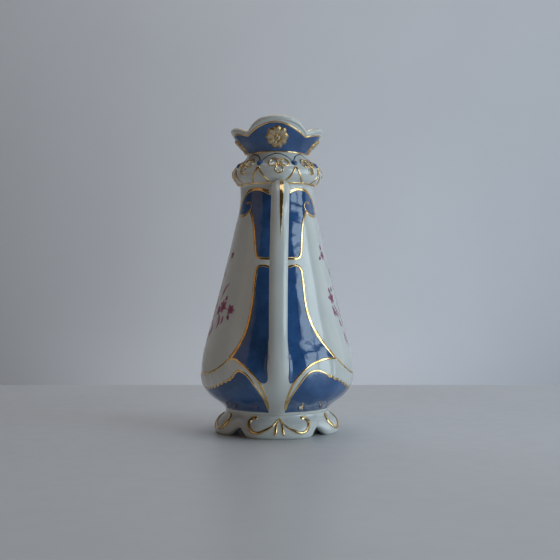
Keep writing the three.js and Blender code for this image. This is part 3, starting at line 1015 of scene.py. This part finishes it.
def held_in_wall(points):
    """Points of a handle's end that would come out inside the vase, kept within its wall."""
    radius = np.hypot(points[:, 0], points[:, 1])
    wall = np.interp(points[:, 2], BELLY.heights, BELLY.radii) - 2.2
    share = np.maximum(1, wall / radius)
    return points * np.stack([share, share, 1 + 0 * share], axis=1)


def make_handle(name, back):
    turns = even_azimuths(48)
    distances = np.linspace(2.5, HANDLE_SKIN.distance[-1], 170)
    rings = [held_in_wall(HANDLE_SKIN.at(turns, distance)) for distance in distances]
    body = np.concatenate(rings), capped_faces(len(rings), len(turns))
    piece(name + "_strap", *body, PORCELAIN, "white_porcelain", [name], turn=180 * back)


# ---- glaze fields and gilding ----


def field(outline, surface, lift=FIELD_LIFT, spacing=1.5):
    """A thin sheet of glaze filling an outline on a surface."""
    points, triangles = filled(outline, spacing=spacing)
    return shell(points, triangles, lambda at, down: surface.at(*at.T, lift + down))


def base_outline(side):
    """The blue field round the base, on one side of the vase."""
    top = across_side(FRILL_HALF, side)
    steps = max(2, int(abs(top[-1, 0] - top[0, 0]) / 1.6))
    bottom = np.stack([np.linspace(top[-1, 0], top[0, 0], steps), np.full(steps, BASE_FIELD_FOOT)], axis=1)
    return np.concatenate([top, bottom])


def make_blue_fields():
    parts = []
    for back in (0, 1):
        parts.append(field(both_sides(UPPER_HALF, back), BELLY))
        parts.append(field(both_sides(LOWER_HALF, back), BELLY, spacing=0.9))
    parts += [field(base_outline(side), BELLY, spacing=1.3) for side in (1, -1)]
    piece("belly_blue_fields", *merged(parts), BLUE, "painted_porcelain")


def make_belly_gilding():
    parts = []
    for back in (0, 1):
        upper = both_sides(UPPER_HALF, back)
        upper = np.concatenate([upper, upper[:1]])
        parts.append(bead_line(BELLY, upper, 2.2, seed=1 + back))
        for side in (1, -1):
            seed = 3 + back * 20 + side
            hook = round_belly(flowing(HOOK, 0.4), side, back)
            swelling = 1.1 + 1.0 * smooth(np.linspace(0, 1, len(hook)), 0.6, 0.9)
            parts.append(bead_line(BELLY, hook, swelling, seed=seed))
            wedge = round_belly(flowing(UPPER_WEDGE), side, back)
            parts.append(bead_line(BELLY, wedge, np.linspace(3.4, 0.5, len(wedge)), seed=seed + 6))
            lower = round_belly(joined(LOWER_FIELD_TOP, LOWER_FIELD_SIDE), side, back)
            width = 2.2 + 0.5 * (1 - smooth(lower[:, 1], 88, 112))
            parts.append(bead_line(BELLY, lower, width, seed=seed + 2))
            parts.append(bead_line(BELLY, round_belly(flowing(FRILL_TOP), side, back), 2.0, seed=seed + 4))
    for side in (1, -1):
        panel = across_side(flowing(PANEL_FOOT), side)
        parts.append(bead_line(BELLY, panel, 2.2, crown=0.35, seed=50 + side))
        frill = across_side(FRILL_HALF, side)
        aside = aside_of(frill[:, 0], frill[:, 1])
        width = 1.7 - 0.5 * smooth(aside, 38, 46) - 0.2 * smooth(aside, 58, 66)
        parts.append(bead_line(BELLY, frill, width, seed=60 + side))
    piece("belly_gilding", *merged(parts), GOLD, "painted_porcelain")


def make_mouth_gilding():
    lip = ring_route(UNDER_LIP)
    lip[:, 1] = under_lip(lip[:, 0])
    parts = [bead_line(MOUTH, ring_route(NECK_LINE), 1.1), bead_line(MOUTH, lip, 1.35)]
    parts.append(bead_line(LipRoll(), ring_route(LIP_TOP_TURN), 0.7, crown=0.1))
    piece("mouth_gilding", *merged(parts), GOLD, "gilding", turn=UPPER_TURN)


def mirrored(half):
    """A line from its right half, which starts on the middle."""
    return [(-x, z) for x, z in half[:0:-1]] + half


def make_collar_gilding():
    """Gilt rings round the openings, a bow over each trefoil and the line at the collar's foot."""
    parts = [bead_line(COLLAR, ring_route(COLLAR_LINE), 1.8, crown=0.35)]
    for number, shift in enumerate(TREFOIL_SHIFTS):
        lobe = CollarLobe(number)
        for rim in collar_openings(shift, 0.5):
            parts.append(bead_line(lobe, np.concatenate([rim, rim[:1]]), 1.25, crown=0.5))
        for line, width, crown in ((mirrored(BOW_HALF), 1.2, 0.4), (TIE, 1.3, 0.5)):
            route = flowing(line, 0.4) + [shift, 0]
            parts.append(bead_line(lobe, route, width, crown=crown, seed=number))
    piece("collar_gilding", *merged(parts), GOLD, "gilding", turn=UPPER_TURN)


def make_festoons():
    """Thin dark blue festoons from bead to bead, each rising to the neck in the middle."""
    line = flowing(mirrored(FESTOON_HALF), 0.5)
    lobes = range(COLLAR_LOBES)
    parts = [bead_line(CollarLobe(number), line, 1.0, crown=0.15, seed=number) for number in lobes]
    piece("collar_festoons", *merged(parts), DEEP_BLUE, "blue_glaze", turn=UPPER_TURN)


def make_handle_gilding(name, back):
    """The long gilt spear down a handle's outer face."""
    top, tip = HANDLE_SKIN.distance_at(SPEAR_TOP) - 8, HANDLE_SKIN.distance_at(SPEAR_TIP)
    along = np.linspace(0, 1, 60)
    half_width = 9.5 * (1 - smooth(along, 0.3, 1.25)) * (1 - along**6) + 0.2
    turns = (SPEAR_MIDDLE - half_width, SPEAR_MIDDLE + half_width)
    right, left = (np.stack([turn, top + (tip - top) * along], axis=1) for turn in turns)
    outline = np.concatenate([right, left[::-1]])
    piece(name + "_spear", *field(outline, HANDLE_SKIN, lift=0.12), GOLD, "gilding", turn=180 * back)


def dome(centre, out, up, half_width, height, rows=7, columns=24, base=0.8):
    """A rounded boss with its base sunk below a surface."""
    side = np.cross(up, out)
    turn = np.radians(even_azimuths(columns))
    rings = []
    for tilt in np.radians(np.linspace(84, 0, rows)):
        radius = half_width * math.cos(tilt)
        ring = radius * (np.outer(np.cos(turn), side) + np.outer(np.sin(turn), up))
        rings.append(centre + ring + out * height * math.sin(tilt))
    rings.append(rings[-1] - out * base)
    return np.concatenate(rings), flipped(capped_faces(len(rings), columns))


def make_collar_beads():
    parts = []
    for number in range(COLLAR_LOBES):
        azimuth = np.array([collar_azimuth(number + 0.5)])
        centre, out = COLLAR.at(azimuth, BEAD_HEIGHT)[0], COLLAR.normal(azimuth, BEAD_HEIGHT)[0]
        way = math.radians(azimuth[0])
        up = np.cross(out, (math.cos(way), math.sin(way), 0))
        parts.append(dome(centre, out, up, BEAD_HALF, BEAD_RISE))
    names = [f"collar_bead_{number + 1}" for number in range(COLLAR_LOBES)]
    piece("collar_beads", *merged(parts), BLUE, "blue_glaze", names, turn=UPPER_TURN)


def make_chevrons():
    parts = []
    for number in range(COLLAR_LOBES):
        lobe = CollarLobe(number + 0.5)
        for side in (1, -1):
            leg = flowing(CHEVRON_LEG, 0.5) * [side, 1]
            parts.append(bead_line(lobe, leg, 1.7, crown=0.6, seed=number + 0.5 * side))
    names = [f"collar_chevron_{number + 1}" for number in range(COLLAR_LOBES)]
    piece("collar_chevrons", *merged(parts), GOLD, "gilding", names, turn=UPPER_TURN)


def make_foot_scrolls():
    """On each lobe of the foot, two long scrolls that meet in a point, with a drop under each."""
    parts = []
    for quarter in range(4):
        for side in (1, -1):
            scroll = flowing(FOOT_SCROLL, 0.5) * [side, 1] + [90 * quarter, 0]
            along = np.linspace(0, 1, len(scroll))
            width = 1.2 + 1.2 * smooth(along, 0.1, 0.4) + 1.5 * smooth(along, 0.6, 0.85)
            parts.append(bead_line(FOOT, scroll, width, crown=0.7, seed=quarter + side))
            drop = flowing(FOOT_DROP, 0.5) * [side, 1] + [90 * quarter, 0]
            width = 1.0 + 1.3 * np.sin(math.pi * np.linspace(0, 1, len(drop)) ** 1.6)
            parts.append(bead_line(FOOT, drop, width, crown=0.6, seed=quarter + 9 * side))
    names = [f"foot_scroll_{place}" for place in QUARTERS]
    piece("foot_scrolls", *merged(parts), GOLD, "gilding", names)


def medallion_height(radius, turn):
    """The relief of a nine-petalled flower, and how gilt each place is, at radius from 0 to 1."""
    petal = np.cos(MEDALLION_PETALS * turn)
    reach = 0.95 + 0.05 * petal
    share = radius / reach
    rim = 1 - smooth(share, 0.82, 1.0)
    furrow = 0.5 + 0.5 * petal
    crown = 0.75 + 0.55 * np.sin(math.pi * np.clip((share - 0.25) / 0.75, 0, 1))
    petals = crown * (0.76 + 0.24 * furrow**0.5)
    inner = 0.5 + 0.5 * np.cos(5 * turn + 0.6)
    heart = 0.55 * (1 - smooth(share, 0.12, 0.3)) + 0.25 * inner * (1 - smooth(share, 0.3, 0.46))
    relief = 1.2 * rim * petals + heart - 0.35 * np.exp(-((share - 0.3) ** 2) / 0.003)
    gilt = smooth(share, 0.8, 0.93) + (1 - furrow) ** 3 * smooth(share, 0.34, 0.5)
    gilt = gilt + np.exp(-((share - 0.3) ** 2) / 0.004) + 0.8 * (1 - smooth(share, 0.05, 0.14))
    return relief, np.clip(gilt, 0, 1)


def make_medallions():
    parts, shades = [], []
    columns, rows = 144, 40
    turn = np.arange(columns) * 2 * math.pi / columns
    for quarter in range(4):
        patch = Patch(MOUTH, 90 * quarter, MEDALLION_HEIGHT - SIDE_MEDALLION_DROP * (quarter % 2))
        rings = []
        for radius in np.linspace(0.02, 1, rows):
            relief, gilt = medallion_height(radius, turn)
            across = MEDALLION_HALF_WIDTH * radius * np.sin(turn)
            up = MEDALLION_HALF_HEIGHT * radius * np.cos(turn)
            rings.append(patch.at(across, up, relief))
            shades.append(gilt)
        rings.append(patch.at(across, up, -0.4))
        shades.append(gilt)
        parts.append((np.concatenate(rings), flipped(capped_faces(len(rings), columns))))
    names = [f"flower_medallion_{place}" for place in QUARTERS]
    body, shades = merged(parts), np.concatenate(shades)
    piece("flower_medallions", *body, GILT_RELIEF, "gilding", names, shades, UPPER_TURN)


# ---- the painted flowers ----


def blade(middle, side, left, right):
    """A pointed outline round a middle line, reaching this far to its left and right."""
    return np.concatenate([middle + np.outer(left, side), (middle - np.outer(right, side))[-2:0:-1]])


class Bouquet:
    """Brush strokes of enamel on one side panel, each a little higher than the one before."""

    def __init__(self, patch, seed):
        self.patch, self.parts, self.shades = patch, [], []
        self.random = np.random.default_rng(seed)
        self.lift = 0.03

    def stroke(self, outline, shade, spacing=0.7):
        """One closed outline filled with enamel, shade(points) giving its depth of colour."""
        self.lift += 0.0025
        points, triangles = filled(outline, spacing=spacing)
        skin = lambda at, down: self.patch.at(*at.T, self.lift + down)
        self.parts.append(shell(points, triangles, skin, depth=0.12))
        self.shades += [shade(points)] * 2

    def petal(self, root, heading, length, width, deep, pale):
        """A petal from its root, darker towards the root and in streaks, with a ragged tip."""
        along = np.linspace(0, 1, 15)
        half = 0.5 * width * np.sin(math.pi * along**0.75) ** 0.8
        ragged = self.random.normal(0, 0.035 * width, 15) * smooth(along, 0.4, 0.8)
        way = np.array([math.cos(heading), math.sin(heading)])
        side = np.array([-way[1], way[0]])
        middle = np.array(root) + np.outer(along * length, way)
        outline = blade(middle, side, half + ragged, half)
        phase = self.random.uniform(0, 6.3)

        def shade(points):
            offset = points - np.array(root)
            far = offset @ way / length
            streak = 0.5 + 0.5 * np.cos(6.5 * (offset @ side) / width * 2 + phase)
            return np.clip(deep + (pale - deep) * far - 0.3 * streak * far, 0, 1)

        self.stroke(outline, shade)

    def flower(self, centre, size, petals=7, deep=0.95):
        """An open flower seen from the front: two rounds of petals and a dark heart."""
        for ring, (count, reach) in enumerate(((petals, 1.0), (petals - 2, 0.62))):
            start = self.random.uniform(0, 6.3)
            for number in range(count):
                heading = start + 2 * math.pi * number / count + self.random.normal(0, 0.12)
                length = 0.5 * size * reach * self.random.uniform(0.85, 1.1)
                width = length * (0.9 if size > SMALL_FLOWER else 0.58)
                self.petal(centre, heading, length, width, deep, 0.35 + 0.2 * ring)
        self.stroke(oval(centre, 0.1 * size, 0.09 * size, points=12), lambda points: np.ones(len(points)))

    def line(self, points, width, shade=0.8):
        """A thin tapering line of enamel."""
        route = flowing(points, 0.6)
        along = unit(np.gradient(route, axis=0))
        side = np.stack([-along[:, 1], along[:, 0]], axis=1)
        share = np.linspace(0, 1, len(route))
        half = (0.5 * width * (1 - 0.75 * share) * smooth(share, -0.1, 0.12))[:, None]
        outline = np.concatenate([route + half * side, (route - half * side)[::-1]])
        self.stroke(outline, lambda points: np.full(len(points), shade), spacing=1.2)

    def leaf(self, root, tip, width, shade=0.55):
        """A narrow pointed leaf with a darker rib."""
        root, tip = np.array(root, float), np.array(tip, float)
        way = tip - root
        side = np.array([-way[1], way[0]]) / np.linalg.norm(way)
        along = np.linspace(0, 1, 13)
        half = 0.5 * width * np.sin(math.pi * along**0.8)
        bow = 0.6 * width * np.sin(math.pi * along)
        middle = root + np.outer(along, way) + np.outer(bow, side)
        streaked = lambda points: np.clip(shade + 0.3 * np.cos(4 * (points - root) @ side), 0, 1)
        self.stroke(blade(middle, side, half, half), streaked)
        self.line(middle[1:-1], 0.3, 0.95)


# Each side's spray is laid out in millimetres, across from the panel's middle towards the front handle and up
# from its main flower: stems, leaves as (root, tip, width), flowers as (centre, size, petals), and loose buds
# as (root, heading).
STEMS = [
    [(2, -28), (1, -14), (0, 0)],
    [(1, -12), (9, -8), (17, -5), (24, -2)],
    [(1, -10), (-8, -4), (-20, 4)],
    [(0, 4), (7, 20), (15, 33), (21, 43)],
    [(0, 4), (-5, 18), (-9, 30)],
]
LEAVES = [
    ((3, -16), (9, -28), 3.4), ((2, -12), (13, -15), 3.6), ((-1, -14), (-10, -20), 3.8),
    ((5, 14), (12, 17), 2.8), ((-4, 14), (-11, 20), 2.8), ((12, 26), (7, 33), 2.4),
]
FLOWERS = [((-1, 1), 25, 8), ((-21, 5), 12, 6), ((-9, 31), 8, 5)]
BUDS = [((-10, 35), 1.9)]

LEFT_STEMS = [[(17, 6), (21, 13), (28, 20)], [(24, 2), (30, 0), (36, -2)], [(20, -4), (20, -11), (17, -19)]]
LEFT_LEAVES = [
    ((18, 8), (28, 20), 2.6), ((22, -5), (22, -18), 2.8), ((28, -6), (26, -14), 2.2),
    ((14, -14), (9, -24), 3.2),
]
LEFT_FLOWERS = [((25, 1), 11, 6), ((19, -2), 10, 6), ((36.5, -1.5), 9.5, 6), ((21, 43), 7, 5)]
LEFT_BUDS = [((27, 6), 1.1), ((34, -6), 5.2)]

RIGHT_STEMS = [[(15, -6), (20, 0), (24, 8)], [(22, 2), (19, -4), (16, -13)]]
RIGHT_LEAVES = [
    ((27, 2), (17, -8), 2.6), ((24, 0), (24, -8), 2.2), ((19, -10), (14, -16), 2.4),
    ((16, -20), (10, -32), 2.8),
]
RIGHT_FLOWERS = [((24, 8), 11, 5), ((23, 43), 8, 5)]
RIGHT_BUDS = [((25, 12), 1.3), ((21, 13), 1.9), ((24, 47), 1.8), ((28, 41), 5.8)]


def make_bouquet(name, patch, seed, stems, leaves, flowers, buds):
    """A spray of flowers, buds, leaves and stems on one side panel."""
    spray = Bouquet(patch, seed)
    for stem in STEMS + stems:
        spray.line(stem, 0.9, 0.7)
    for root, tip, width in LEAVES + leaves:
        spray.leaf(root, tip, width)
    for centre, size, petals in FLOWERS + flowers:
        spray.flower(centre, size, petals)
    for root, heading in BUDS + buds:
        spray.petal(root, heading, 4.4, 2.6, 0.9, 0.5)
    vertices, faces = merged(spray.parts)
    piece(name, vertices, faces, ENAMEL, "painted_porcelain", shades=np.concatenate(spray.shades))


# ---- room, light and camera ----


def room_finish(name, dark, light, size, smoothest, roughest):
    """Paint or board, hardly uneven."""
    recipe = Recipe(name)
    recipe.feed(recipe.colours(recipe.cloud(size, 3), (0.3, dark), (0.7, light)), "Base Color")
    recipe.feed(recipe.patchy(size / 10, 2, smoothest, roughest), "Roughness")
    return recipe.material


def staged(name, points, faces, material):
    """A part of the room round the vase."""
    thing = added(name, mesh_of(name, points, faces, material))
    return thing


def square_to_camera(aside, back, up):
    """A place in the room: aside to the right and back from the vase, as the camera sees it."""
    turn = math.radians(CAMERA_AZIMUTH)
    cosine, sine = math.cos(turn), math.sin(turn)
    return aside * cosine - back * sine, aside * sine + back * cosine, up


def make_stage():
    """A pale table top and a pale wall some way behind it."""
    table = room_finish("pale_table", (0.61, 0.62, 0.64), (0.64, 0.65, 0.67), 160, 0.34, 0.44)
    wall = room_finish("pale_wall", (0.80, 0.805, 0.85), (0.83, 0.835, 0.88), 240, 0.6, 0.75)
    wide = 2200
    top = [(-wide, -wide, 0), (wide, -wide, 0), (wide, TABLE_EDGE, 0), (-wide, TABLE_EDGE, 0)]
    staged("table_top", [square_to_camera(*corner) for corner in top], [(0, 1, 2, 3)], table)
    low, high, far = -600, 2000, WALL_DISTANCE
    upright = [(-wide, far, low), (wide, far, low), (wide, far, high), (-wide, far, high)]
    staged("back_wall", [square_to_camera(*corner) for corner in upright], [(0, 1, 2, 3)], wall)


def make_backdrop():
    """A pale surround a long way off, there only to be looked at: it gives and blocks no light."""
    azimuths = even_azimuths(96)
    rings = [turned_ring(BACKDROP_RADIUS, level, azimuths) for level in (-1500, 3200)]
    finish = Recipe("pale_backdrop").set(Roughness=1.0, Emission_Strength=0.34)
    glow = finish.colours(finish.cloud(900, 2), (0.3, (0.93, 0.96, 1.0)), (0.7, (1.0, 1.0, 1.0)))
    finish.set(Base_Color=(0, 0, 0, 1), Specular_IOR_Level=0).feed(glow, "Emission Color")
    thing = staged("backdrop", np.concatenate(rings), ring_faces(2, len(azimuths)), finish.material)
    thing.visible_diffuse = thing.visible_glossy = thing.visible_transmission = thing.visible_shadow = False


def placed(name, data, place, aim):
    """A light or camera at one place, pointed at another."""
    thing = added(name, data)
    thing.location = Vector(place) * MM
    thing.rotation_euler = (Vector(aim) - Vector(place)).to_track_quat("-Z", "Y").to_euler()
    return thing


def area_light(name, place, aim, size, power, colour):
    """A rectangular light that isn't itself seen by the camera."""
    lamp = bpy.data.lights.new(name, "AREA")
    lamp.shape = "RECTANGLE"
    lamp.size, lamp.size_y = size[0] * MM, size[1] * MM
    lamp.energy, lamp.color = power, colour
    thing = placed(name, lamp, place, aim)
    thing.visible_camera = False


def light_on_vase(name, azimuth, elevation, distance, size, power, colour):
    """A rectangular light aimed at the vase, azimuth and elevation in degrees."""
    tilt = math.radians(elevation)
    way = round_axis(math.cos(tilt), azimuth, math.sin(tilt))
    aim = Vector((0, 0, LIGHTS_AIM))
    area_light(name, aim + Vector(way) * distance, aim, size, power, colour)


def make_window():
    """A tall window to the right, two panes wide and two high, with dark bars between."""
    pane_width, radiance, daylight = 19, 3.7, (0.73, 0.90, 1.0)
    for column, azimuth in enumerate((50.5, 72.5)):
        for row, (low, high) in enumerate(((-5, 16), (19, 29))):
            width = 2 * WINDOW_DISTANCE * math.tan(math.radians(pane_width / 2))
            height = 2 * WINDOW_DISTANCE * math.tan(math.radians((high - low) / 2))
            power = radiance * math.pi * width * height * MM * MM
            name, elevation = f"window_pane_{column}_{row}", (low + high) / 2
            light_on_vase(name, azimuth, elevation, WINDOW_DISTANCE, (width, height), power, daylight)


def make_lights():
    """Window light from the right, weak light from the rest of the room and a wash of light on the wall."""
    make_window()
    light_on_vase("window_head", 58, 63, 1600, (440, 340), 1.6, (0.8, 0.93, 1.0))
    light_on_vase("room_above", 180, 80, 1500, (1400, 1400), 7.5, (0.97, 0.98, 1.0))
    light_on_vase("room_right", 112, 20, 1700, (900, 1300), 2.0, (0.97, 0.98, 1.0))
    light_on_vase("room_left", -66, 14, 1700, (1100, 1050), 1.0, (1.0, 0.64, 0.34))
    for name, aside, off, up, size, power, colour in WALL_WASHES:
        place = square_to_camera(aside, WALL_DISTANCE - off, up)
        area_light(name, place, square_to_camera(aside, WALL_DISTANCE, up), size, power, colour)


def make_glow():
    """A trace of light inside the neck, for the light that filters in through the porcelain."""
    inside_neck = bpy.data.lights.new("glow_inside_neck", "POINT")
    inside_neck.energy, inside_neck.shadow_soft_size = 0.005, 6 * MM
    added("glow_inside_neck", inside_neck).location = (0, 0, 211 * MM)


def make_world():
    world = bpy.data.worlds.new("room")
    world.use_nodes = True
    backdrop = world.node_tree.nodes["Background"]
    backdrop.inputs["Color"].default_value = (0.36, 0.31, 0.26, 1)
    backdrop.inputs["Strength"].default_value = 0.11
    bpy.context.scene.world = world


def make_camera():
    lens = bpy.data.cameras.new("photo_view")
    lens.lens, lens.sensor_width = FOCAL_LENGTH, 36
    place = square_to_camera(0, -CAMERA_DISTANCE, CAMERA_HEIGHT)
    aim = square_to_camera(AIM_ASIDE, 0, AIM_HEIGHT)
    bpy.context.scene.camera = placed("photo_view", lens, place, aim)


def build():
    make_foot()
    make_belly()
    make_collar()
    make_mouth()
    make_mouth_glaze()
    make_blue_fields()
    make_belly_gilding()
    make_mouth_gilding()
    make_collar_gilding()
    make_festoons()
    make_collar_beads()
    make_chevrons()
    make_foot_scrolls()
    make_medallions()
    for name, back in (("handle_front", 0), ("handle_back", 1)):
        make_handle(name, back)
        make_handle_gilding(name, back)
    right, left = Patch(BELLY, 90, SPRAY_HEIGHT, mirrored=True), Patch(BELLY, -90, SPRAY_HEIGHT)
    make_bouquet("bouquet_right", right, 5, RIGHT_STEMS, RIGHT_LEAVES, RIGHT_FLOWERS, RIGHT_BUDS)
    make_bouquet("bouquet_left", left, 11, LEFT_STEMS, LEFT_LEAVES, LEFT_FLOWERS, LEFT_BUDS)
    make_stage()
    make_backdrop()
    make_lights()
    make_glow()
    make_world()
    make_camera()
    bpy.context.scene.view_settings.view_transform = "Standard"


build()
